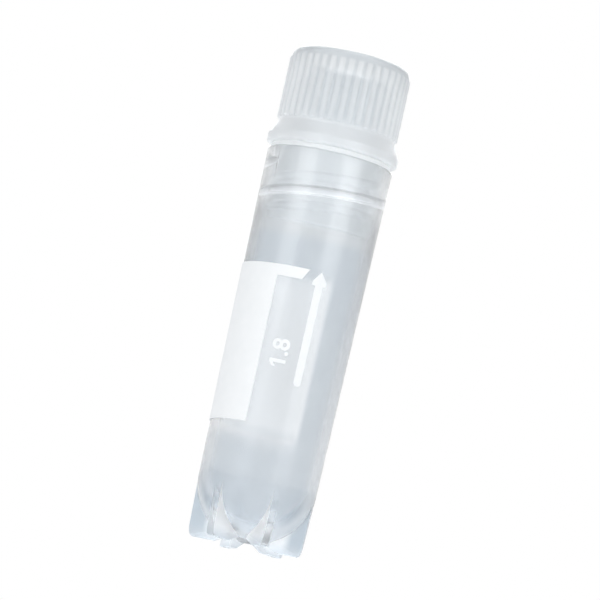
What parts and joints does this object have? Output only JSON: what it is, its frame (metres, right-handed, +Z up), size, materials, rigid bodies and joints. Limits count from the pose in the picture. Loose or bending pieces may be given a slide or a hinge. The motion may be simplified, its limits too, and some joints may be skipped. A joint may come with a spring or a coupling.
{
  "type": "cryogenic vial",
  "caption": "Round-bottomed plastic storage vial on a star foot, with an internally threaded ribbed screw cap, a sealing ring and a white writing panel.",
  "frame": {"origin": "on the floor below the tube's axis, at the centre of the star foot", "axes": "+Z up along the tube's axis towards the cap; -Y is the front, where the arrow mark is and the middle of a valley of the foot lies 9.4 degrees to its left"},
  "size_m": [0.0132, 0.0132, 0.0495],
  "materials": {
    "tube_plastic": "translucent moulded polypropylene, smooth",
    "cap_plastic": "translucent moulded polypropylene, fine satin",
    "seal": "soft silicone, matt",
    "panel_ink": "white printed ink for writing on",
    "arrow_ink": "white printed ink"
  },
  "bodies": {
    "vial": {"vial_tube": "tube_plastic", "writing_panel": "panel_ink", "arrow_mark": "arrow_ink"},
    "seal": {"gasket": "seal"},
    "cap": {"screw_cap": "cap_plastic"}
  },
  "joints": [
    {"name": "cap_rise", "type": "slide", "parent": "vial", "child": "seal", "axis": [0, 0, 1], "range_m": [0, 0.009]},
    {"name": "cap_turn", "type": "hinge", "parent": "seal", "child": "cap", "pos_m": [0, 0, 0.0397], "axis": [0, 0, 1], "range_deg": [0, 1083]}
  ],
  "couplings": [
    {"joint": "cap_turn", "follows": "cap_rise", "rad_per_m": 2094.4}
  ]
}
